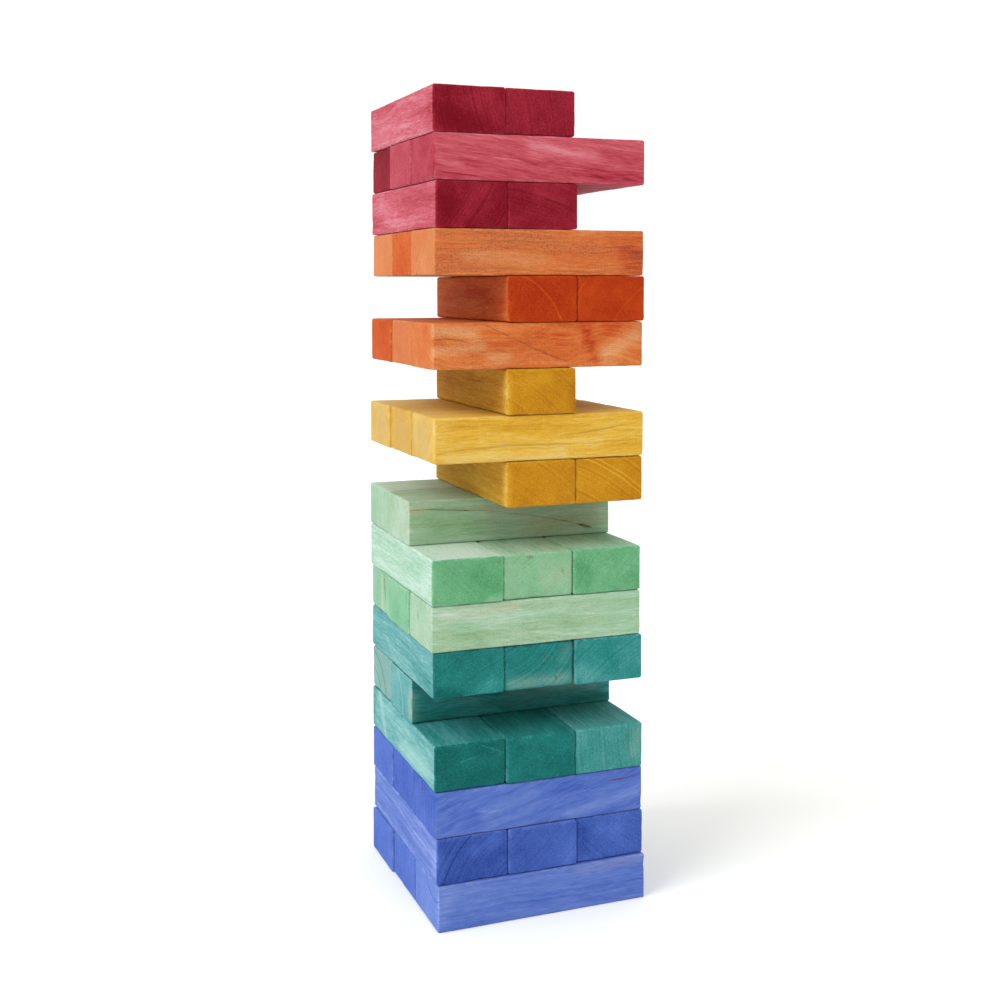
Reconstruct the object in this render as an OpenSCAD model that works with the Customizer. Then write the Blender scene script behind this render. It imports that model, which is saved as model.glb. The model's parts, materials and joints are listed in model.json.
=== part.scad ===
// Giant tumbling tower: layers of dyed wooden blocks, each layer laid across the one below it.
// Every block is a solid of its own. +Z is up, and the tower stands on z = 0 around the origin.

/* [Blocks] */
// Length of one block, which is also the width of the tower
block_l = 180; // [120:5:300]
// Height of one block
block_h = 36.7; // [24:0.1:60]
// Gap between two blocks that lie side by side
side_gap = 0.4; // [0.2:0.1:1]
// Air between two layers, whose sawn faces never lie quite flat on each other
stack_gap = 0.05; // [0.02:0.01:0.2]
// How far the easing of an edge reaches in from each face
edge_ease = 1.8; // [0.6:0.2:4]
// Number of flats that make up one eased edge
edge_flats = 2; // [1:1:4]

/* [Stack] */
// How unevenly the blocks sit, from 0 for a freshly squared tower to 1 for one in play
unevenness = 1; // [0:0.1:1]
// Farthest that a block is pushed along its own length, in an uneven tower
longest_push = 1.2; // [0:0.1:3]

/* [Hidden] */
// Three blocks side by side are as wide as one block is long
pitch = block_l / 3;
block_w = pitch - side_gap;
layer_h = block_h + stack_gap;

// The layers, from the bottom one up. Each holds its dye, the axis that its blocks lie along,
// the places that are filled, and how far it is shifted (x, y) and twisted off square.
// Place -1 is the front or the left one, 0 the middle one and 1 the back or the right one.
LAYERS = [
    ["blue",    "x", [-1, 0, 1], [ 0.8, -1.8],  0.3],
    ["blue",    "y", [-1, 0, 1], [ 1.1,  0.0],  0.2],
    ["blue",    "x", [-1, 0, 1], [ 0.7,  0.5],  0.2],
    ["teal",    "y", [-1, 0, 1], [ 0.0,  0.0],  0.0],
    ["teal",    "x", [0, 1],     [-0.8,  0.2],  0.0],
    ["teal",    "y", [-1, 0, 1], [-0.3,  1.0], -0.2],
    ["mint",    "x", [-1, 0, 1], [-1.4,  0.3], -0.4],
    ["mint",    "y", [-1, 0, 1], [-2.0,  0.0], -0.1],
    ["mint",    "x", [0, 1],     [-1.5,  0.0], -0.2],
    ["yellow",  "y", [0, 1],     [-0.2, -0.2],  0.1],
    ["yellow",  "x", [-1, 0, 1], [-0.4,  0.2], -0.2],
    ["yellow",  "y", [0],        [-0.2,  0.0],  0.0],
    ["orange",  "x", [-1, 0, 1], [-0.1,  0.0], -0.2],
    ["orange",  "y", [0, 1],     [ 0.5, -0.3],  0.1],
    ["orange",  "x", [-1, 0, 1], [ 0.9,  0.0],  0.2],
    ["crimson", "y", [-1, 0],    [ 1.0,  0.0],  0.4],
    ["crimson", "x", [-1, 0, 1], [ 0.6, -0.2],  0.1],
    ["crimson", "y", [-1, 0],    [-0.6,  0.0], -0.1],
];

DYES = [
    ["blue",    [0.38, 0.44, 0.80]],
    ["teal",    [0.16, 0.58, 0.54]],
    ["mint",    [0.58, 0.80, 0.68]],
    ["yellow",  [0.86, 0.70, 0.24]],
    ["orange",  [0.85, 0.45, 0.26]],
    ["crimson", [0.70, 0.20, 0.32]],
];

// Every block in the tower, as its layer's number and its place
BLOCKS = [for (number = [1:len(LAYERS)]) for (place = LAYERS[number - 1][2]) [number, place]];

function layer(block) = LAYERS[block[0] - 1];
function dye(block) = DYES[search([layer(block)[0]], DYES)[0]][1];
function lies_along_y(block) = layer(block)[1] == "y";
function place_word(block) =
    (lies_along_y(block) ? ["left", "middle", "right"] : ["front", "middle", "back"])[block[1] + 1];
function two_digits(number) = str(number < 10 ? "0" : "", number);
function block_name(block) = str("layer_", two_digits(block[0]), "_", place_word(block), "_block");

// Each block is pushed a little way along itself, by an amount that looks random but isn't
function push(block) = unevenness * longest_push * sin(145 * block[0] + 110 * block[1]);

// A rectangle around the origin whose corners are cut by a few flats, for an eased edge
module eased_rectangle(width, height) {
    polygon([
        for (corner = [0:3])
            for (flat_end = [0:edge_flats])
                let (
                    angle = 90 * (corner + flat_end / edge_flats),
                    side_x = corner == 0 || corner == 3 ? 1 : -1,
                    side_y = corner < 2 ? 1 : -1
                )
                [
                    side_x * (width / 2 - edge_ease) + edge_ease * cos(angle),
                    side_y * (height / 2 - edge_ease) + edge_ease * sin(angle)
                ]
    ]);
}

// One block that lies along X on z = 0, with all twelve edges eased
module eased_block() {
    translate([0, 0, block_h / 2])
        intersection() {
            linear_extrude(block_h, center = true) eased_rectangle(block_l, block_w);
            rotate([90, 0, 0])
                linear_extrude(block_w, center = true) eased_rectangle(block_l, block_h);
            rotate([90, 0, 90])
                linear_extrude(block_l, center = true) eased_rectangle(block_w, block_h);
        }
}

// One block in its place in the tower
module placed_block(block) {
    shift = unevenness * layer(block)[3];
    twist = unevenness * layer(block)[4];
    across = block[1] * pitch;
    color(dye(block))
        translate([shift[0], shift[1], (block[0] - 1) * layer_h])
            rotate(twist)
                if (lies_along_y(block))
                    translate([across, push(block), 0]) rotate(90) eased_block();
                else
                    translate([push(block), across, 0]) eased_block();
}

for (block = BLOCKS)
    placed_block(block);
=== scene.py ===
import json
import math

import bpy
import numpy as np
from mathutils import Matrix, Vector


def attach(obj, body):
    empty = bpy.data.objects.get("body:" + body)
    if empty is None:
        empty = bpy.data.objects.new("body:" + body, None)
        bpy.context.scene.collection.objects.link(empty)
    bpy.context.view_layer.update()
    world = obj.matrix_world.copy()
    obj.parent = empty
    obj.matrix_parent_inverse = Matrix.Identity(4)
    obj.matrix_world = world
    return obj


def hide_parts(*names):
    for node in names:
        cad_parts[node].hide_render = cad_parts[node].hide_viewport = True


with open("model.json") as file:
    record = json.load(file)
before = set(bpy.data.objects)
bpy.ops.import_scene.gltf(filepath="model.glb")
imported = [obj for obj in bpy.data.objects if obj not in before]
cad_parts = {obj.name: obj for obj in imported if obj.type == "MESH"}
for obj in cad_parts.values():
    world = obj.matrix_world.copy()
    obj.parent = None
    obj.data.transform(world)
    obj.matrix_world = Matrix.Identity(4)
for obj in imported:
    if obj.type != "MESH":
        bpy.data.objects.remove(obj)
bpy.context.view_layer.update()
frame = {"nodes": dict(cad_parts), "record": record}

# A giant tumbling tower of dyed hardwood blocks. Every CAD block is replaced by a detailed block of the
# same size in the same place: rounded edges that vary, knocks along them, and dyed wood all through.

MM = 0.001


# ---------------------------------------------------------------- camera, light and floor

LENS, SENSOR = 49, 36                   # mm
CAMERA_AT = (-0.412, -1.087, 0.5065)    # m from the middle of the tower's foot
TILT, TURN = 2.2, 20.69                 # degrees down from level, and to the right of straight ahead
SHIFT = -0.162                          # brings in the tower's foot and leaves its uprights upright
WALLS, BACKDROP = 0.4, 1.1              # brightness of the studio in front of the tower and behind it
BACKDROP_FROM = 0.6                     # how far back a direction points where the backdrop is brightest
FLOOR_SIDE = 60.0                       # m, wide enough to reach close to the horizon


def make_camera():
    """A lens above the tower's middle, seeing the front face and a slice of the left one."""
    data = bpy.data.cameras.new("camera")
    data.lens = LENS
    data.sensor_width = SENSOR
    data.shift_y = SHIFT
    camera = bpy.data.objects.new("camera", data)
    camera.location = CAMERA_AT
    camera.rotation_euler = (math.radians(90 - TILT), 0, math.radians(-TURN))
    bpy.context.scene.collection.objects.link(camera)
    bpy.context.scene.camera = camera


def make_far_softbox(name, direction, brightness, spread, colour):
    """A light so large and far away that it falls evenly on everything, from the given direction."""
    data = bpy.data.lights.new(name, "SUN")
    data.energy = brightness * math.pi
    data.color = colour
    data.angle = math.radians(spread)
    light = bpy.data.objects.new(name, data)
    light.rotation_euler = Vector(direction).to_track_quat("Z", "Y").to_euler()
    bpy.context.scene.collection.objects.link(light)


def make_studio():
    """A white backdrop behind the tower, dimmer walls elsewhere, and two softboxes."""
    scene = bpy.context.scene
    scene.view_settings.view_transform = "Standard"
    world = bpy.data.worlds.new("studio")
    world.use_nodes = True
    tree = world.node_tree
    background = tree.nodes["Background"]
    coordinates = tree.nodes.new("ShaderNodeTexCoord")
    split = tree.nodes.new("ShaderNodeSeparateXYZ")
    brightness = tree.nodes.new("ShaderNodeMapRange")
    brightness.inputs["From Min"].default_value = 0.0
    brightness.inputs["From Max"].default_value = BACKDROP_FROM
    brightness.inputs["To Min"].default_value = WALLS
    brightness.inputs["To Max"].default_value = BACKDROP
    tree.links.new(coordinates.outputs["Generated"], split.inputs[0])
    tree.links.new(split.outputs["Y"], brightness.inputs["Value"])
    tree.links.new(brightness.outputs["Result"], background.inputs["Strength"])
    background.inputs["Color"].default_value = (1, 1, 1, 1)
    scene.world = world
    make_far_softbox("key", direction=(-1, -0.22, 0.8), brightness=0.68, spread=45,
                     colour=(0.97, 1.0, 1.05))
    make_far_softbox("front", direction=(0.1, -0.75, 0.65), brightness=0.44, spread=50,
                     colour=(1.0, 0.98, 0.85))


def make_floor():
    """A pale matt floor, flush with the foot of the tower."""
    half = FLOOR_SIDE / 2
    corners = [(-half, -half, 0), (half, -half, 0), (half, half, 0), (-half, half, 0)]
    data = bpy.data.meshes.new("floor")
    data.from_pydata(corners, [], [(0, 1, 2, 3)])
    floor = bpy.data.objects.new("floor", data)
    bpy.context.scene.collection.objects.link(floor)
    material = bpy.data.materials.new("pale_floor")
    material.use_nodes = True
    shader = material.node_tree.nodes["Principled BSDF"]
    shader.inputs["Base Color"].default_value = (0.97, 0.97, 0.97, 1)
    shader.inputs["Roughness"].default_value = 0.9
    shader.inputs["Specular IOR Level"].default_value = 0.1
    data.materials.append(material)


# ---------------------------------------------------------------- how each block looks

# Each dye runs from wood that hardly took it to wood that is soaked in it (sRGB).
DYES = {
    "blue": [(0.56, 0.62, 0.82), (0.38, 0.47, 0.73), (0.26, 0.37, 0.68), (0.13, 0.23, 0.52)],
    "teal": [(0.58, 0.74, 0.72), (0.36, 0.61, 0.61), (0.13, 0.48, 0.47), (0.00, 0.32, 0.31)],
    "mint": [(0.73, 0.81, 0.76), (0.55, 0.71, 0.60), (0.39, 0.63, 0.46), (0.22, 0.49, 0.31)],
    "yellow": [(0.84, 0.73, 0.45), (0.80, 0.63, 0.22), (0.72, 0.50, 0.08), (0.57, 0.33, 0.02)],
    "orange": [(0.82, 0.56, 0.37), (0.77, 0.41, 0.19), (0.70, 0.25, 0.05), (0.56, 0.13, 0.01)],
    "crimson": [(0.80, 0.52, 0.57), (0.72, 0.32, 0.37), (0.59, 0.14, 0.21), (0.42, 0.00, 0.08)],
}
BARE_WOOD = (0.68, 0.60, 0.46)
BROWN = (0.34, 0.20, 0.11)

# Places on a block are in mm from its middle: along towards its front or left end, across to the right
# as that end is seen, and up. END, SIDE and TOP lie on the faces that the tower shows.
END = 90
SIDE = 29.8
TOP = 18.3


class Mark:
    """A fine streak, crack, knot or pale line in the wood, from one place to another."""

    def __init__(self, start, end, width=1.0, brown=0.0, pale=0.0, bow=0.0):
        self.start = start
        self.end = end
        self.width = width      # how far it reaches to either side, mm
        self.brown = brown      # how dark and brown it is, 0 to 1
        self.pale = pale        # how much less dye it took
        self.bow = bow          # how far its middle is bent upwards, mm


class Patch:
    """A broad soft area around a line, where the wood took more dye or less, or stayed bare. A few pale
    strips on recessed left sides are painted light.
    """

    def __init__(self, start, end, width, dye=0.0, bare=0.0):
        self.start = start
        self.end = end
        self.width = width      # how far it reaches to either side, mm
        self.dye = dye          # added to the dye taken up
        self.bare = bare        # how far the wood's own colour shows through


class Look:
    """How one block took its dye and how its grain runs, with painted light and painted shade on a few of
    its faces.
    """

    def __init__(self, end=0.7, side=0.35, top=None, bare=0.0, rings=0.3, pores=0.3, figure=1.0,
                 pith=(60, -50), arcs=(), arc_tone=0.2, lean=0.0, sway=1.2, ease=1.9, marks=(), patches=()):
        self.end = end          # dye taken up by the end grain, 0 pale to 1 deep
        self.side = side        # dye taken up by the two sides
        # dye taken up by the top; the recessed tops of layers 8 to 11 are given less, which is painted
        # light, and the tops of layer 4 more, which is painted shade
        self.top = side if top is None else top
        self.bare = bare        # how far the wood's own colour shows through
        self.rings = rings      # strength of the growth rings
        self.pores = pores      # strength of the open pores
        self.figure = figure    # how cloudy the dye is
        self.pith = pith        # where the middle of the tree would be, mm across and up
        self.arcs = arcs        # up to two rings that stand out, by their distance from the pith in mm
        self.arc_tone = arc_tone    # how pale those rings are, or how dark when below 0
        self.lean = lean        # how far the grain climbs for each mm towards the front or left end
        self.sway = sway        # how far the grain strays across and up as it runs along, mm
        self.ease = ease        # how far the edges are rounded, mm
        self.marks = marks      # up to three marks
        self.patches = patches


LOOKS = {
    "18_left": Look(0.9, 0.33, figure=1.3, rings=0.5, pith=(170, 50), patches=(
        Patch((-40, -SIDE, -8), (-80, -SIDE, 8), 9, -0.08),
        Patch((86, -SIDE, 4), (80, -SIDE, -6), 8, 0.12),
        Patch((END, 14, 12), (END, 22, -2), 7, -0.12),
        Patch((END, -16, -6), (END, 2, -12), 8, 0.1))),
    "18_middle": Look(0.84, 0.35, rings=0.4, pith=(-180, -30)),
    "17_back": Look(0.89, 0.4, rings=0.2),
    "17_middle": Look(0.5, 0.4, rings=0.4, pith=(80, -60)),
    "17_front": Look(0.57, 0.43, figure=1.4, rings=0.4, pith=(190, -60), lean=0.12, marks=(
        Mark((42, SIDE, 0), (16, SIDE, -3), 0.8, pale=0.22),
        Mark((-5, SIDE, -5), (-36, SIDE, -7), 0.8, pale=0.22),
        Mark((84, SIDE, -12), (48, SIDE, -16), 0.7, pale=-0.25)), patches=(
        Patch((8, SIDE, 8), (-45, SIDE, 4), 5.5, -0.22),
        Patch((86, SIDE, -2), (68, SIDE, -8), 3.5, -0.25),
        Patch((-50, SIDE, -13), (-88, SIDE, -12), 7, 0.12))),
    "16_left": Look(0.9, 0.37, figure=1.2, rings=0.5, pith=(-140, 90), patches=(
        Patch((-5, -SIDE, 8), (-60, -SIDE, 5), 8, -0.1),
        Patch((END, -13, -17), (END, 6, 12), 4.5, -0.14),
        Patch((END, -24, 4), (END, -20, -10), 7, 0.08),
        Patch((END, 22, 0), (END, 18, -12), 6, 0.1))),
    "16_middle": Look(0.88, 0.35, rings=0.4, pith=(-50, -160), marks=(
        Mark((END, -2, 7), (END, 27, -2), 0.8, brown=0.3, pale=-0.3, bow=1),), patches=(
        Patch((END, -6, 11), (END, 20, 3), 3, -0.12),
        Patch((END, -20, -10), (END, -6, -4), 7, -0.08))),

    "15_back": Look(0.3, 0.35, bare=0.15, rings=0.3, pith=(180, 0)),
    "15_middle": Look(0.52, 0.4, rings=0.9, pith=(-70, -70), pores=0.5),
    "15_front": Look(0.29, 0.45, bare=0.12, rings=0.6, pores=1.0, pith=(-120, 120), figure=0.8, marks=(
        Mark((80, SIDE, 9), (-25, SIDE, 8), 0.8, brown=0.3),
        Mark((88, SIDE, -13), (5, SIDE, -15), 0.8, brown=0.3, bow=1),
        Mark((-10, SIDE, -15), (-50, SIDE, -16), 0.8, brown=0.4)), patches=(
        Patch((-74, SIDE, 1), (-92, SIDE, -1), 7.5, 0.42),
        Patch((-76, SIDE, -12), (-92, SIDE, -14), 5, 0.3),
        Patch((62, SIDE, -3), (0, SIDE, -6), 5, -0.12, bare=0.15),
        Patch((-60, SIDE, 12), (-90, SIDE, 14), 4, 0.12))),
    "14_middle": Look(0.89, 0.5, rings=0.2, pith=(-46, -42), arcs=(68.3, 31.5), arc_tone=0.2, patches=(
        # painted light: this pale strip near the front edge of the recessed left side stands for light
        # reaching in under the layer above
        Patch((88, -SIDE, -6), (84, -SIDE, -14), 6, -0.15),
        Patch((0, -SIDE, 6), (40, -SIDE, 0), 11, 0.1))),
    "14_right": Look(0.86, 0.6, rings=0.2, pith=(60, -50), arcs=(65.4, 104.5), arc_tone=0.12, patches=(
        Patch((END, -20, 6), (END, -10, 16), 6, -0.08),)),
    "13_back": Look(0.6, 0.4, rings=1.0, pith=(210, 5)),
    "13_middle": Look(0.4, 0.4, bare=0.12, rings=0.9, pith=(220, -10)),
    "13_front": Look(0.38, 0.45, bare=0.05, rings=0.6, pores=0.6, figure=1.8, pith=(60, 60), sway=6, marks=(
        Mark((49, SIDE, 18), (-24, SIDE, -14), 1.1, brown=0.6, bow=-1.5),
        Mark((89, SIDE, 6), (62, SIDE, 3), 0.9, brown=0.55, bow=1.5),
        Mark((40, SIDE, -2), (26, SIDE, -7), 0.8, brown=0.4)), patches=(
        Patch((90, SIDE, 12), (56, SIDE, 10), 4, -0.3, bare=0.18),
        Patch((88, SIDE, -4), (50, SIDE, -1), 4, -0.26, bare=0.18),
        Patch((42, SIDE, -9), (28, SIDE, -9), 4, -0.24, bare=0.15),
        Patch((-56, SIDE, -7), (-84, SIDE, 7), 6.5, -0.34, bare=0.2),
        Patch((-38, SIDE, 15), (-48, SIDE, -13), 4, 0.28),
        Patch((-64, SIDE, 15), (-58, SIDE, 12), 4, 0.2),
        Patch((0, SIDE, 7), (-18, SIDE, 5), 6, 0.14))),

    "12_middle": Look(0.75, 0.54, rings=0.4, pores=0.9, pith=(-120, -150), ease=2.2, marks=(
        Mark((40, -SIDE, 4), (0, -SIDE, 5), 1.0, brown=0.4),), patches=(
        # painted light: this pale strip near the front edge of the recessed left side stands for light
        # reaching in under the layer above
        Patch((88, -SIDE, 8), (87, -SIDE, -14), 5, -0.3),
        Patch((-60, -SIDE, 4), (10, -SIDE, 8), 7, 0.1),
        Patch((END, 27, 4), (END, 28, -12), 4, 0.15),
        Patch((END, -14, 8), (END, 4, 10), 7, -0.1))),
    # the tops of layer 11 take less dye than their sides: painted light on tops that lie in shade under
    # layer 13
    "11_back": Look(0.32, 0.33, top=0.2, rings=0.3, pith=(40, 50), marks=(
        Mark((END, 20, 12), (END, 29, 2), 0.8, brown=0.4),), patches=(
        Patch((END, 0, 0), (END, 6, 0), 24, bare=0.5),)),
    "11_middle": Look(0.44, 0.35, top=0.27, rings=0.6, pores=0.5, pith=(200, 0), marks=(
        Mark((60, 20, TOP), (-20, 20, TOP), 1.5, brown=0.3),
        Mark((END, -28, 2), (END, -22, 12), 0.8, brown=0.35)), patches=(
        Patch((END, 0, 0), (END, 6, 0), 24, bare=0.4),)),
    "11_front": Look(0.29, 0.36, top=0.24, rings=0.4, pores=0.35, figure=1.4, pith=(150, 70), marks=(
        Mark((88, SIDE, -9), (-28, SIDE, -6), 1.5, brown=0.32, bow=1.5),
        Mark((-16, SIDE, 1), (-72, SIDE, 8), 0.9, brown=0.35, bow=-1),
        Mark((END, 27, 13), (END, 8, -11), 0.9, brown=0.3)), patches=(
        Patch((END, 0, 0), (END, -6, 0), 22, bare=0.45),
        Patch((END, -28, 10), (END, -27, -10), 4, 0.15, bare=0.3),
        Patch((80, SIDE, -15), (-20, SIDE, -15), 2.8, -0.22),
        Patch((-60, SIDE, -8), (-84, SIDE, -2), 6, 0.08),
        Patch((74, SIDE, 6), (60, SIDE, 0), 7, 0.08))),
    "10_middle": Look(0.75, 0.48, rings=0.4, pores=0.6, pith=(-120, -160), ease=1.8, patches=(
        # painted light: this pale strip near the front edge of the recessed left side stands for light
        # reaching in under the layer above
        Patch((88, -SIDE, 8), (87, -SIDE, -16), 5, -0.3),
        Patch((30, -SIDE, 9), (-70, -SIDE, 10), 4, 0.15))),
    "10_right": Look(0.75, 0.55, rings=0.7, pores=0.5, pith=(-104, -166), arcs=(200, 203.6), arc_tone=0.22),

    # the tops of layers 9 and 8 take less dye than their sides: painted light on tops that lie in shade
    # under the layers above
    "9_back": Look(0.34, 0.4, top=0.14, bare=0.15, rings=0.4, pith=(40, 60), marks=(
        Mark((84, 27, TOP), (-30, 27, TOP), 4.0, brown=0.28),
        Mark((END, 4, 8), (END, 16, -4), 1.0, brown=0.2))),
    # bare=0.2 here tints the shaded side yellow: painted bounce light from the yellow layer 10 above
    "9_middle": Look(0.27, 0.44, top=0.28, bare=0.2, rings=0.4, pores=0.4, figure=1.4,
                     pith=(60, -60), marks=(
        Mark((89, SIDE, 12), (38, SIDE, 8), 1.0, brown=0.55, bow=0.5),
        Mark((42, SIDE, 8.5), (-72, SIDE, -12), 0.9, brown=0.5, bow=3),
        Mark((-62, SIDE, -10), (-74, SIDE, -12.5), 1.6, brown=0.75)), patches=(
        Patch((90, SIDE, 12), (76, SIDE, 12), 3, -0.1, bare=0.3),
        Patch((24, SIDE, 9), (-10, SIDE, 3), 4, -0.05, bare=0.3),
        Patch((64, SIDE, -2), (30, SIDE, -7), 8, 0.16),
        Patch((-20, SIDE, -8), (-80, SIDE, 2), 9, -0.04, bare=0.2))),
    "8_left": Look(0.75, 0.22, top=0.06, rings=0.3, figure=0.7, pith=(-90, -90), ease=1.8, marks=(
        Mark((END, 25, 13), (END, 27, 15), 1.6, brown=0.35),), patches=(
        Patch((END, 8, 2), (END, 20, -6), 8, 0.12),
        Patch((END, 28, -15), (END, 18, -17), 4, -0.2),
        Patch((70, -SIDE, -6), (90, -SIDE, 6), 9, -0.12))),
    "8_middle": Look(0.56, 0.4, top=0.3, bare=0.06, rings=0.4, pores=0.6, pith=(90, -120), ease=2.2, marks=(
        Mark((END, -10, 16.5), (END, -5, 16), 2.2, brown=0.4),
        Mark((END, 20, 5), (END, 22, 0), 1.6, brown=0.3)), patches=(
        Patch((END, 8, -6), (END, 25, 2), 8, -0.14, bare=0.1),
        Patch((40, -10, TOP), (-20, -8, TOP), 7, 0.2))),
    "8_right": Look(0.74, 0.45, top=0.34, rings=0.3, pith=(120, -100), ease=1.8, patches=(
        Patch((END, -22, 6), (END, -16, -8), 7, 0.08),)),
    "7_back": Look(0.46, 0.4, bare=0.05, rings=0.4, pith=(190, 0), marks=(
        Mark((END, 10, 17), (END, 14, -4), 2.8, brown=0.42),), patches=(
        Patch((END, 2, 10), (END, 4, -12), 4, -0.2, bare=0.2),)),
    "7_middle": Look(0.54, 0.4, rings=0.4, pith=(190, 20)),
    "7_front": Look(0.34, 0.38, bare=0.16, rings=0.3, pores=0.4, figure=1.2, pith=(50, 60), marks=(
        Mark((END, -6, 8), (END, -5, 1), 2.0, brown=0.3),
        Mark((END, -22, -9), (END, -21, -11), 1.4, brown=0.3)), patches=(
        Patch((66, SIDE, 0), (50, SIDE, -10), 8, 0.12),
        Patch((10, SIDE, -2), (-30, SIDE, 0), 6, 0.1),
        Patch((80, SIDE, 10), (20, SIDE, 13), 3, -0.1, bare=0.15))),

    "6_left": Look(0.82, 0.34, rings=0.3, pores=0.8, pith=(90, -150), ease=1.8, patches=(
        Patch((END, -26, -13), (END, -8, -17), 4, 0.2),
        Patch((END, 10, -14), (END, 26, -10), 5, -0.12),
        Patch((80, -SIDE, -10), (40, -SIDE, -6), 6, 0.1))),
    "6_middle": Look(0.79, 0.4, rings=0.9, pores=0.6, pith=(-40, 50), ease=3.2, marks=(
        Mark((END, 3, 10), (END, 4.5, 7), 1.1, brown=0.75),
        Mark((END, 13.5, -8), (END, 14, -11.5), 1.1, brown=0.75),
        Mark((END, 3, -15), (END, 4, -16), 0.8, brown=0.6)), patches=(
        Patch((END, -24, -13), (END, 24, -12), 5, -0.2, bare=0.15),
        Patch((END, 24, 12), (END, 20, 4), 5, -0.08, bare=0.08))),
    "6_right": Look(0.67, 0.4, rings=0.5, pith=(100, -140), ease=1.8, patches=(
        Patch((END, -25, -6), (END, -18, -14), 7, -0.18),
        Patch((END, -2, 8), (END, 6, -8), 6, 0.1))),
    "5_back": Look(0.3, 0.5, bare=0.2, rings=0.6, pores=0.6, pith=(-30, -34), arcs=(32, 47), arc_tone=-0.5),
    "5_middle": Look(0.38, 0.72, rings=0.9, pith=(-46, -20), arcs=(52,), arc_tone=0.3, pores=0.8, marks=(
        Mark((70, SIDE, -4), (-50, SIDE, 3), 1.2, brown=0.4, bow=2),
        Mark((20, SIDE, -12), (-70, SIDE, -8), 1.0, brown=0.35)), patches=(
        Patch((END, 26, 4), (END, 26, -10), 5, -0.2, bare=0.25),
        Patch((END, -22, 8), (END, -10, 12), 7, -0.12),
        Patch((0, SIDE, 4), (-70, SIDE, 0), 8, -0.22, bare=0.12))),
    # the tops of layer 4 take more dye than their sides: painted shade on tops that lie in the slot under
    # layer 6
    "4_left": Look(0.96, 0.28, top=0.62, rings=0.2, pores=0.6, pith=(-10, 80), figure=1.2, ease=2.2, marks=(
        Mark((END, -9, 5), (END, 7, 8), 0.6, pale=0.22),
        Mark((END, 8, 17), (END, 29, 8), 0.6, pale=0.25),
        Mark((END, -28, -1), (END, 29, -15), 0.6, pale=0.3, bow=3)), patches=(
        Patch((-66, -SIDE, 16), (-48, -SIDE, -14), 5, -0.2),
        Patch((-88, -SIDE, 0), (-84, -SIDE, 12), 7, 0.2),
        Patch((0, -SIDE, -8), (74, -SIDE, -4), 9, -0.12),
        Patch((-20, -SIDE, 8), (0, -SIDE, 14), 6, 0.12))),
    "4_middle": Look(0.87, 0.6, top=0.72, rings=0.2, pores=0.6, pith=(50, 160), ease=2.2),
    "4_right": Look(0.6, 0.5, top=0.54, bare=0.02, rings=0.5, pith=(210, 20), ease=1.8, marks=(
        Mark((END, 15, 16), (END, 17, -8), 1.6, brown=0.28),
        Mark((40, 0, TOP), (10, 2, TOP), 2.0, brown=0.25)), patches=(
        Patch((END, 22, -6), (END, 26, 10), 6, -0.12, bare=0.08),)),

    "3_back": Look(0.6, 0.42, rings=0.4, pith=(160, 160)),
    "3_middle": Look(0.68, 0.42, rings=0.9, pith=(200, 10)),
    "3_front": Look(0.7, 0.58, rings=1.2, pith=(-210, 0), figure=1.5, lean=-0.25, marks=(
        Mark((-58, SIDE, 9.5), (-86, SIDE, 12), 0.7, brown=0.8, bow=-0.5),
        Mark((56, SIDE, 0), (34, SIDE, -3), 2, pale=0.15),
        Mark((END, -27, 14), (END, -26, -10), 1.2, brown=0.4)), patches=(
        Patch((48, SIDE, -4), (5, SIDE, 8), 4.5, -0.2),
        Patch((-25, SIDE, -14), (-85, SIDE, -4), 4.5, -0.2),
        Patch((-30, SIDE, 6), (-60, SIDE, 2), 6, 0.1),
        Patch((84, SIDE, 6), (60, SIDE, 0), 8, 0.1))),
    "2_left": Look(0.89, 0.35, rings=0.6, pith=(46, -39), arcs=(75.5,), arc_tone=-0.7, pores=0.5, patches=(
        Patch((END, 2, 4), (END, 22, 12), 6, -0.14),
        Patch((90, -SIDE, 4), (84, -SIDE, -8), 8, -0.12))),
    "2_middle": Look(0.78, 0.4, rings=0.3, pith=(-130, 140), patches=(
        Patch((END, 26, 0), (END, 22, -14), 5, -0.12),)),
    "2_right": Look(0.78, 0.4, rings=0.3, pith=(130, 150), patches=(
        Patch((END, -26, 8), (END, -24, -8), 5, 0.1),
        Patch((END, -8, 8), (END, 6, 2), 7, -0.08))),
    "1_back": Look(0.56, 0.4, rings=0.4, pith=(150, 60)),
    "1_middle": Look(0.58, 0.4, rings=1.2, pith=(200, 5)),
    "1_front": Look(0.38, 0.52, rings=0.4, pith=(20, 30), arcs=(26,), arc_tone=-0.4, figure=1.2, patches=(
        Patch((88, SIDE, -10), (82, SIDE, 10), 7, -0.15),
        Patch((10, SIDE, -4), (-50, SIDE, -6), 8, 0.1),
        Patch((-30, SIDE, 14), (-86, SIDE, 15), 3, -0.1, bare=0.15))),
}


def look_of(node):
    """The look of a node such as layer_07_front_block."""
    layer, place = node.split("_")[1:3]
    return LOOKS[str(int(layer)) + "_" + place]


# ---------------------------------------------------------------- wood that took up dye

def linear(colour):
    """A colour as seen on screen, as the shader wants it."""
    return [c / 12.92 if c <= 0.04045 else ((c + 0.055) / 1.055) ** 2.4 for c in colour] + [1]


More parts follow.
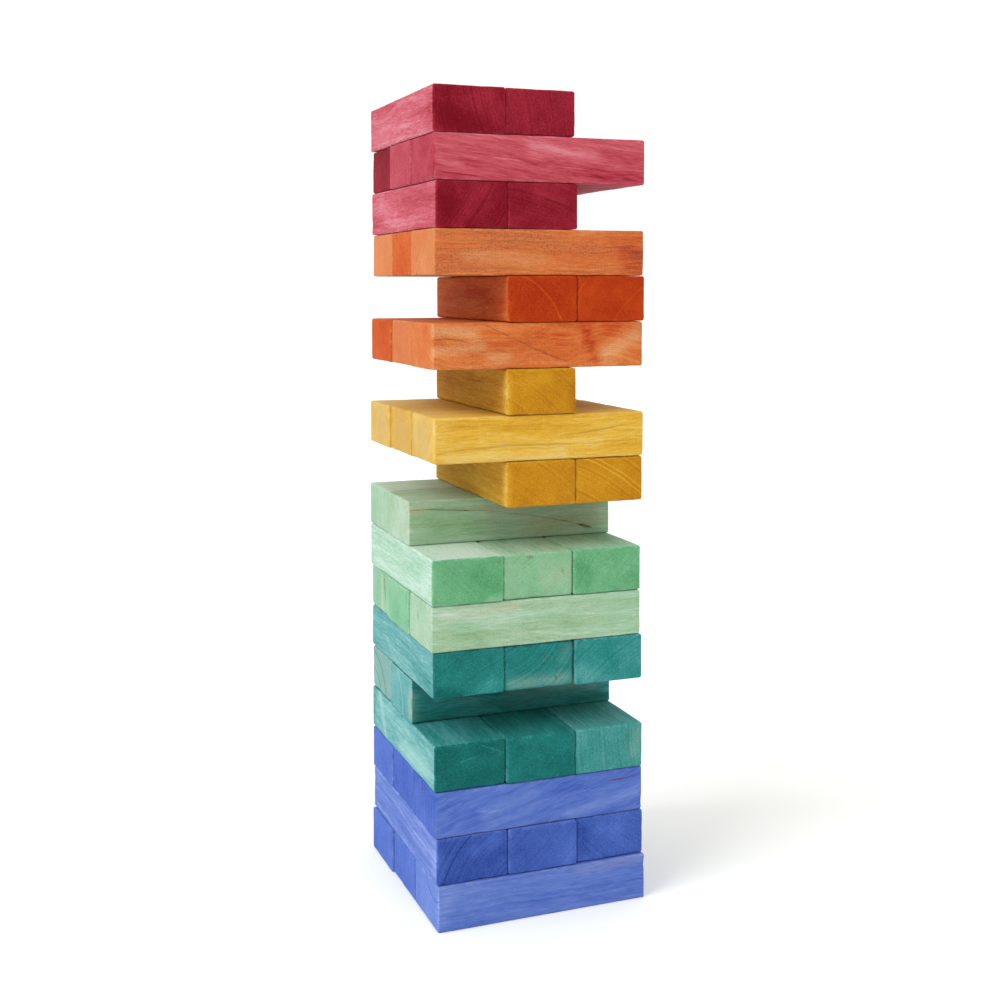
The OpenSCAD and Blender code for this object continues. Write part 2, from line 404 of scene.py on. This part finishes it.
class Tree:
    """Short names for adding and joining shader nodes."""

    def __init__(self, material):
        material.use_nodes = True
        self.tree = material.node_tree
        self.shader = self.tree.nodes["Principled BSDF"]

    def put(self, value, socket):
        if isinstance(value, bpy.types.NodeSocket):
            self.tree.links.new(value, socket)
        else:
            socket.default_value = value

    def attribute(self, name, output="Vector"):
        node = self.tree.nodes.new("ShaderNodeAttribute")
        node.attribute_name = name
        return node.outputs[output]

    def split(self, vector):
        node = self.tree.nodes.new("ShaderNodeSeparateXYZ")
        self.put(vector, node.inputs[0])
        return node.outputs

    def combined(self, x, y, z):
        node = self.tree.nodes.new("ShaderNodeCombineXYZ")
        for value, socket in zip((x, y, z), node.inputs):
            self.put(value, socket)
        return node.outputs[0]

    def math(self, operation, a, b=0.0, clamp=False):
        node = self.tree.nodes.new("ShaderNodeMath")
        node.operation = operation
        node.use_clamp = clamp
        self.put(a, node.inputs[0])
        self.put(b, node.inputs[1])
        return node.outputs[0]

    def add(self, first, *others):
        for other in others:
            first = self.math("ADD", first, other)
        return first

    def times(self, first, *others):
        for other in others:
            first = self.math("MULTIPLY", first, other)
        return first

    def minus(self, a, b):
        return self.math("SUBTRACT", a, b)

    def centred(self, value, amount):
        """A value from 0 to 1 as a swing around 0."""
        return self.times(self.minus(value, 0.5), amount)

    def vector(self, operation, a, b=None):
        node = self.tree.nodes.new("ShaderNodeVectorMath")
        node.operation = operation
        self.put(a, node.inputs[0])
        if b is not None:
            self.put(b, node.inputs["Scale"] if operation == "SCALE" else node.inputs[1])
        return node.outputs["Value"] if operation in ("DOT_PRODUCT", "LENGTH") else node.outputs["Vector"]

    def noise(self, vector, scale, detail=2.0, roughness=0.5):
        """Noise whose scale is in features a metre along, across and up the block."""
        node = self.tree.nodes.new("ShaderNodeTexNoise")
        node.inputs["Scale"].default_value = 1
        node.inputs["Detail"].default_value = detail
        node.inputs["Roughness"].default_value = roughness
        self.put(self.vector("MULTIPLY", vector, scale), node.inputs["Vector"])
        return node.outputs["Fac"]

    def noise_along(self, distance, scale, detail=2.0, roughness=0.5):
        node = self.tree.nodes.new("ShaderNodeTexNoise")
        node.noise_dimensions = "1D"
        node.inputs["Scale"].default_value = scale
        node.inputs["Detail"].default_value = detail
        node.inputs["Roughness"].default_value = roughness
        self.put(distance, node.inputs["W"])
        return node.outputs["Fac"]

    def range(self, value, low, high, to_low=0.0, to_high=1.0):
        node = self.tree.nodes.new("ShaderNodeMapRange")
        node.interpolation_type = "SMOOTHSTEP"
        for given, name in ((value, "Value"), (low, "From Min"), (high, "From Max"),
                            (to_low, "To Min"), (to_high, "To Max")):
            self.put(given, node.inputs[name])
        return node.outputs["Result"]

    def mix(self, factor, a, b):
        node = self.tree.nodes.new("ShaderNodeMix")
        node.data_type = "RGBA"
        self.put(factor, node.inputs["Factor"])
        self.put(a, node.inputs["A"])
        self.put(b, node.inputs["B"])
        return node.outputs["Result"]

    def ramp(self, value, colours):
        node = self.tree.nodes.new("ShaderNodeValToRGB")
        elements = node.color_ramp.elements
        last = len(colours) - 1
        for i, colour in enumerate(colours):
            element = elements[0] if i == 0 else elements[-1] if i == last else elements.new(i / last)
            element.position = i / last
            element.color = linear(colour)
        self.put(value, node.inputs["Fac"])
        return node.outputs["Color"]


MARKS = 3       # marks that the material has room for on each block

# The patterns in the grain, by how many features they have in a metre along, across and up a block
CLOUDS = (8, 30, 30)
BANDS = (12, 150, 150)
STREAKS = (34, 520, 520)
FIBRES = (100, 1400, 1400)
PORES = (360, 1800, 1800)
WEAR = (150, 150, 150)
RING_WAVES = (10, 45, 45)       # how the rings stray from round
RINGS = 420                     # by the distance from the pith
RING_FIBRES = (1800, 450, 0)    # by the distance from the pith and around it
MARK_WANDER = (16, 0, 0)
MARK_WOBBLE = (60, 500, 500)


def rings_around_pith(t, grain):
    """How far a point is from the pith and how far around it."""
    across, up, _ = t.split(t.attribute("ring_place"))
    radius = t.math("SQRT", t.add(t.times(across, across), t.times(up, up)))
    radius = t.add(radius, t.centred(t.noise(grain, RING_WAVES, 2), 2 * MM))
    around = t.times(t.math("ARCTAN2", up, across), radius)
    return radius, around


def mark_strength(t, number, spot, wobble, bow):
    """How brown and how pale one of its block's marks makes a point."""
    start = t.attribute("mark_%d_start" % number)
    run = t.vector("SUBTRACT", t.attribute("mark_%d_end" % number), start)
    offset = t.vector("SUBTRACT", spot, start)
    along = t.vector("DOT_PRODUCT", offset, run)
    part = t.math("DIVIDE", along, t.vector("DOT_PRODUCT", run, run), clamp=True)
    # bent most halfway along, widest there too, and frayed out to nothing at its sides
    middle = t.times(part, t.minus(1.0, part), 4.0)
    bend = t.vector("SCALE", (0, 0, 1), t.times(bow, middle))
    away = t.vector("SUBTRACT", t.vector("SUBTRACT", offset, t.vector("SCALE", run, part)), bend)
    width, brown, pale = t.split(t.attribute("mark_%d_style" % number))
    width = t.times(width, t.add(0.35, t.times(middle, 0.65)))
    distance = t.add(t.vector("LENGTH", away), t.times(wobble, width))
    strength = t.range(distance, 0.0, t.times(width, 1.3), 1.0, 0.0)
    return t.times(strength, brown), t.times(strength, pale)


def all_marks(t, grain, top_face):
    """How brown and how pale the marks make a point. They wander a little and break up along the grain."""
    wander = t.centred(t.noise(t.attribute("spot"), MARK_WANDER, 1), 6 * MM)
    upwards = t.times(wander, t.minus(1.0, top_face))
    spot = t.vector("ADD", t.attribute("spot"), t.combined(0.0, t.times(wander, top_face), upwards))
    wobble = t.centred(t.noise(grain, MARK_WOBBLE, 2), 2.0)
    bows = t.split(t.attribute("bows"))
    strengths = [mark_strength(t, i + 1, spot, wobble, bows[i]) for i in range(MARKS)]
    return t.add(*(brown for brown, pale in strengths)), t.add(*(pale for brown, pale in strengths))


def open_pores(t, grain, bands, end_face, strength):
    """How open the pores are at a point: short dashes along the grain, dots on the ends."""
    cells = t.tree.nodes.new("ShaderNodeTexVoronoi")
    cells.inputs["Scale"].default_value = 1
    t.put(t.vector("MULTIPLY", grain, PORES), cells.inputs["Vector"])
    chosen = t.math("GREATER_THAN", t.split(cells.outputs["Color"])[0], 0.4)
    pore = t.times(t.range(cells.outputs["Distance"], 0.2, 0.6, 1.0, 0.0), chosen, strength)
    return t.times(pore, t.range(bands, 0.35, 0.65, 0.6, 1.2), t.minus(1.0, t.times(end_face, 0.5)))


def dyed_wood(dye):
    """One dye's wood. The mesh says where each point lies in the grain and how its block took the dye,
    along with painted light and painted shade on a few faces.
    """
    material = bpy.data.materials.new(dye + "_dyed_wood")
    t = Tree(material)
    grain = t.attribute("grain")
    facing = t.attribute("facing")
    end_face, _, top_face = t.split(facing)
    long_face = t.minus(1.0, end_face)
    bare, rings, pores = t.split(t.attribute("habit"))
    figure = t.attribute("figure", "Fac")
    worn_edge = t.attribute("edge", "Fac")

    clouds = t.noise(grain, CLOUDS, 3, 0.55)
    bands = t.noise(grain, BANDS, 2, 0.5)
    streaks = t.noise(grain, STREAKS, 3, 0.6)
    radius, around = rings_around_pith(t, grain)
    ring_tone = t.noise_along(radius, RINGS, 3, 0.6)

    # fibres run along the block, and on its ends they lie partly along the rings
    fibres = t.noise(grain, FIBRES, 2, 0.65)
    along_rings = t.noise(t.combined(radius, around, 0.0), RING_FIBRES, 2, 0.5)
    fibres = t.add(fibres, t.times(t.minus(along_rings, fibres), end_face, 0.4))

    # dye taken up, from 0 for wood that stayed pale to 1 for soaked wood, with painted light and painted
    # shade added in: paler recessed tops and pale strips on recessed sides, deeper tops on layer 4
    patch = t.times(t.attribute("patch", "Fac"), t.range(streaks, 0.3, 0.7, 0.6, 1.4))
    dye_and_painted_light = t.add(t.vector("DOT_PRODUCT", facing, t.attribute("dye_and_painted_light")), patch)
    streaked = t.minus(t.add(0.3, t.times(long_face, 0.7)), t.times(top_face, 0.35))
    fibrous = t.add(1.0, t.times(end_face, 0.7))
    # each pattern, how far it swings the dye, and how strongly
    swings = (
        (clouds, 0.4, figure),
        (bands, 0.45, streaked),
        (streaks, 0.45, streaked),
        (fibres, 0.6, fibrous),
        (ring_tone, 0.5, rings))
    for pattern, swing, strength in swings:
        dye_and_painted_light = t.add(dye_and_painted_light, t.times(t.centred(pattern, swing), strength))

    # rings that stand out on the ends, worn edges, and marks
    first_arc, second_arc, arc_tone = t.split(t.attribute("arcs"))
    on_arc = t.add(*(t.range(t.math("ABSOLUTE", t.minus(radius, arc)), 0.2 * MM, 0.9 * MM, 1.0, 0.0)
                     for arc in (first_arc, second_arc)))
    dye_and_painted_light = t.minus(dye_and_painted_light, t.times(on_arc, arc_tone, end_face))
    wear = t.times(worn_edge, t.range(t.noise(grain, WEAR, 2), 0.4, 0.65))
    dye_and_painted_light = t.minus(dye_and_painted_light, t.times(wear, 0.22))
    brown_mark, pale_mark = all_marks(t, grain, top_face)
    dye_and_painted_light = t.minus(dye_and_painted_light, t.times(pale_mark, t.range(streaks, 0.3, 0.6, 0.5, 1.2)))

    # the dye, then the wood's own colour where the dye stayed thin, which on one block is painted bounce
    # light, then pores and brown marks
    colour = t.ramp(dye_and_painted_light, DYES[dye])
    thin = t.times(bare, t.range(bands, 0.3, 0.7, 0.6, 1.4))
    colour = t.mix(thin, colour, linear(BARE_WOOD))
    pore = open_pores(t, grain, bands, end_face, pores)
    brown = t.math("MAXIMUM", t.times(pore, 0.48), brown_mark)
    colour = t.mix(brown, colour, linear(BROWN))
    t.put(colour, t.shader.inputs["Base Color"])

    rough = t.add(0.66, t.times(fibres, 0.14), t.times(end_face, 0.05))
    t.put(t.minus(rough, t.times(worn_edge, 0.1)), t.shader.inputs["Roughness"])
    t.shader.inputs["Specular IOR Level"].default_value = 0.1

    # raised fibres, with the pores and brown marks sunk between them
    relief = t.add(t.times(fibres, 0.5), t.times(streaks, 0.4))
    bump = t.tree.nodes.new("ShaderNodeBump")
    bump.inputs["Strength"].default_value = 0.5
    bump.inputs["Distance"].default_value = 0.4 * MM
    t.put(t.minus(relief, t.times(brown, 0.9)), bump.inputs["Height"])
    t.put(bump.outputs["Normal"], t.shader.inputs["Normal"])
    return material


# ---------------------------------------------------------------- the shape of a block

GRID = 3.6 * MM                         # spacing of the mesh in the middle of a face
ARC_STEPS = 4                           # steps of the mesh round half of an edge
WOBBLES = (0.06, 0.04, 0.03)            # lengths of the wobbles along, across and up a block, m
EASE_VARIES = 0.16                      # how far the rounding of an edge wobbles, as a part of it
FALL, FALL_REACH = 0.2 * MM, 6 * MM     # how deep the top and bottom fall away, and from how far in
FALL_VARIES = 0.3                       # how far that wobbles, as a part of it
KNOCKS = 7                              # dents along the edges of each block
KNOCK_SIZE = (2, 5)                     # mm, the smallest and the largest
KNOCK_DEPTH = (0.15, 0.5)               # mm, the shallowest and the deepest


class Place:
    """Where a CAD block lies: its middle, its half sizes, and the directions along, across and up."""

    def __init__(self, node):
        mesh = frame["nodes"][node].data
        points = np.unique(np.round([v.co for v in mesh.vertices], 6), axis=0)
        # a block is symmetric, so its corners spread along its own directions, most of all lengthwise
        spreads, directions = np.linalg.eigh(np.cov(points[:, :2].T))
        along = np.append(directions[:, np.argmax(spreads)], 0)
        along *= -np.sign(along.sum())      # towards the front or the left
        self.axes = np.array([along, np.cross([0, 0, 1], along), [0, 0, 1]])
        local = points @ self.axes.T
        low, high = local.min(0), local.max(0)
        self.half = (high - low) / 2
        self.middle = ((high + low) / 2) @ self.axes

    def world(self, local):
        return local @ self.axes + self.middle


def grid_lines(half, ease):
    """Places of the grid lines along one side: close together where the edge is rounded, wide between."""
    arc = [ease * math.tan(math.pi / 4 * i / ARC_STEPS) for i in range(ARC_STEPS + 1)]
    inner = half - ease
    count = max(2, round(2 * inner / GRID))
    middle = np.linspace(-inner, inner, count + 1)[1:-1]
    ends = [inner + step for step in arc]
    return np.concatenate([[-e for e in reversed(ends)], middle, ends])


def box_grid(lines):
    """A closed grid over the six faces of a box whose grid lines are given for each axis."""
    counts = [len(x) for x in lines]
    index = {}
    points = []
    faces = []

    def point(key):
        if key not in index:
            index[key] = len(points)
            points.append([lines[axis][place] for axis, place in enumerate(key)])
        return index[key]

    for axis in range(3):
        u, v = (axis + 1) % 3, (axis + 2) % 3
        for side in (0, counts[axis] - 1):
            for i in range(counts[u] - 1):
                for j in range(counts[v] - 1):
                    corners = []
                    for di, dj in ((0, 0), (1, 0), (1, 1), (0, 1)):
                        key = [0, 0, 0]
                        key[axis], key[u], key[v] = side, i + di, j + dj
                        corners.append(point(tuple(key)))
                    faces.append(corners if side else corners[::-1])
    return np.array(points), faces


def smooth_wobble(values, seed, length):
    """A smooth random curve between about -1 and 1: three waves, the longest of 1.25 times length."""
    rng = np.random.default_rng(seed)
    total = np.zeros_like(values)
    for octave in range(3):
        phase = rng.uniform(0, 2 * math.pi)
        total += np.sin(values / length * 2 * math.pi * (octave + 1) * 0.8 + phase) / (octave + 1)
    return total / 1.8      # about the height that the three waves reach together


def block_shape(half, ease, number, rng):
    """The block's points, where they lie once its edges are rounded and knocked, and its faces."""
    points, faces = box_grid([grid_lines(h, ease) for h in half])

    # every edge is rounded, a little more here and a little less there
    wobble = sum(smooth_wobble(points[:, axis], 10 * number + axis, length)
                 for axis, length in enumerate(WOBBLES))
    radius = (ease * (1 + EASE_VARIES * wobble))[:, None]
    core = np.clip(points, -(half - radius), half - radius)
    outward = points - core
    outward /= np.maximum(np.linalg.norm(outward, axis=1, keepdims=True), 1e-12)
    rounded = core + outward * radius

    # the top and bottom fall away towards their edges, which leaves a thin dark line between two layers
    inset = (half[:2] - np.abs(points[:, :2])).min(1)
    fall = FALL * (1 + FALL_VARIES * wobble) * np.exp(-(inset / FALL_REACH) ** 2)
    rounded[:, 2] *= 1 - fall / half[2]

    # knocks: shallow dents along the edges
    for _ in range(KNOCKS):
        axis = rng.integers(3)
        knock = half * rng.choice([-1, 1], 3)
        knock[axis] = rng.uniform(-half[axis], half[axis])
        size = rng.uniform(*KNOCK_SIZE) * MM
        depth = rng.uniform(*KNOCK_DEPTH) * MM
        near = np.exp(-((points - knock) ** 2).sum(1) / size ** 2)
        rounded -= outward * (near * depth)[:, None]
    return points, rounded, outward, faces


def distance_to_line(points, start, end):
    """How far each point is from the straight line between two places."""
    start = np.array(start, float)
    run = np.array(end, float) - start
    part = np.clip((points - start) @ run / (run @ run), 0, 1)
    return np.linalg.norm(points - start - part[:, None] * run, axis=1)


# ---------------------------------------------------------------- what the mesh tells the material

LARGEST_LEAN = 0.02     # how far any block's grain may lean by chance, for each mm along
SWAY_LENGTH = 0.13      # length of one sway of the grain, m
WORN_REACH = 2.0 * MM   # how far the worn look reaches in from an edge
FAR_AWAY = 900          # mm, for the marks and rings that a block doesn't have


def swaying_grain(points, look, number, rng):
    """The points as the grain sees them, which leans a little and sways as it runs along the block."""
    swayed = points.copy()
    lean = rng.uniform(-LARGEST_LEAN, LARGEST_LEAN, 2) - (0, look.lean)
    for column in (1, 2):
        sway = smooth_wobble(points[:, 0], 10 * number + 4 + column, SWAY_LENGTH)
        swayed[:, column] += lean[column - 1] * points[:, 0] + look.sway * MM * sway
    return swayed


def patched(points, look):
    """Dye added by the block's patches at each point, and how bare the wood is there. Some of that dye is
    painted light, and on one block the bareness is painted bounce light.
    """
    dye = np.zeros(len(points))
    bare = np.full(len(points), look.bare)
    for patch in look.patches:
        near = np.exp(-(distance_to_line(points / MM, patch.start, patch.end) / patch.width) ** 2)
        dye += patch.dye * near
        bare += patch.bare * near
    return dye, bare


def facing_of(outward):
    """How far each point faces along, across and up."""
    facing = outward ** 2
    ends = np.minimum(3 * facing[:, :1], 1)     # the dye of the end grain reaches round its edges
    return np.hstack([ends, facing[:, 1:] * (1 - ends) / np.maximum(1 - facing[:, :1], 1e-9)])


def store_wood(mesh, points, outward, half, look, number, rng):
    """Tell the material where each point lies in the block's grain, and how the block took its dye."""
    count = len(points)

    def store_number(name, values):
        layer = mesh.attributes.new(name, "FLOAT", "POINT")
        layer.data.foreach_set("value", np.broadcast_to(values, count).ravel())

    def store_vector(name, values):
        layer = mesh.attributes.new(name, "FLOAT_VECTOR", "POINT")
        layer.data.foreach_set("vector", np.broadcast_to(values, (count, 3)).ravel())

    swayed = swaying_grain(points, look, number, rng)
    pith = np.array([0, look.pith[0], look.pith[1]]) * MM
    dye, bare = patched(points, look)
    first_arc, second_arc = (list(look.arcs) + [-FAR_AWAY] * 2)[:2]
    no_mark = Mark((0, 0, FAR_AWAY), (0, 0, FAR_AWAY + 1))
    marks = (list(look.marks) + [no_mark] * MARKS)[:MARKS]
    from_edge = np.sort(half - np.abs(points), axis=1)[:, 1]

    store_vector("spot", points)
    store_vector("grain", swayed + rng.uniform(-5, 5, 3))
    store_vector("ring_place", np.roll(swayed - pith, -1, axis=1))
    store_vector("facing", facing_of(outward))
    store_vector("dye_and_painted_light", (look.end, look.side, look.top))
    store_number("patch", dye)
    store_vector("habit", np.column_stack([bare, np.full(count, look.rings), np.full(count, look.pores)]))
    store_number("figure", look.figure)
    store_vector("arcs", (first_arc * MM, second_arc * MM, look.arc_tone))
    store_number("edge", np.clip(1 - from_edge / WORN_REACH, 0, 1))
    store_vector("bows", [mark.bow * MM for mark in marks])
    for i, mark in enumerate(marks):
        store_vector("mark_%d_start" % (i + 1), np.array(mark.start) * MM)
        store_vector("mark_%d_end" % (i + 1), np.array(mark.end) * MM)
        store_vector("mark_%d_style" % (i + 1), (mark.width * MM, mark.brown, mark.pale))


def make_block(node, number):
    """A detailed block that stands for one CAD block."""
    place = Place(node)
    look = look_of(node)
    rng = np.random.default_rng(1000 + number)
    points, rounded, outward, faces = block_shape(place.half, look.ease * MM, number, rng)
    mesh = bpy.data.meshes.new(node)
    mesh.from_pydata(place.world(rounded).tolist(), [], faces)
    mesh.polygons.foreach_set("use_smooth", [True] * len(faces))
    store_wood(mesh, points, outward, place.half, look, number, rng)
    piece = bpy.data.objects.new(node.replace("_block", "_wood"), mesh)
    bpy.context.scene.collection.objects.link(piece)
    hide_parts(node)
    return piece


make_camera()
make_studio()
make_floor()

slots = {part["node"]: part["material_slot"] for part in frame["record"]["subparts"]}
woods = {dye + "_dyed_wood": dyed_wood(dye) for dye in DYES}
body_of_node = {n: body for body, nodes in frame["record"]["behaviour"]["bodies"].items() for n in nodes}
for number, node in enumerate(sorted(frame["nodes"])):
    piece = make_block(node, number)
    piece.data.materials.append(woods[slots[node]])
    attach(piece, body_of_node[node])

bpy.context.view_layer.update()
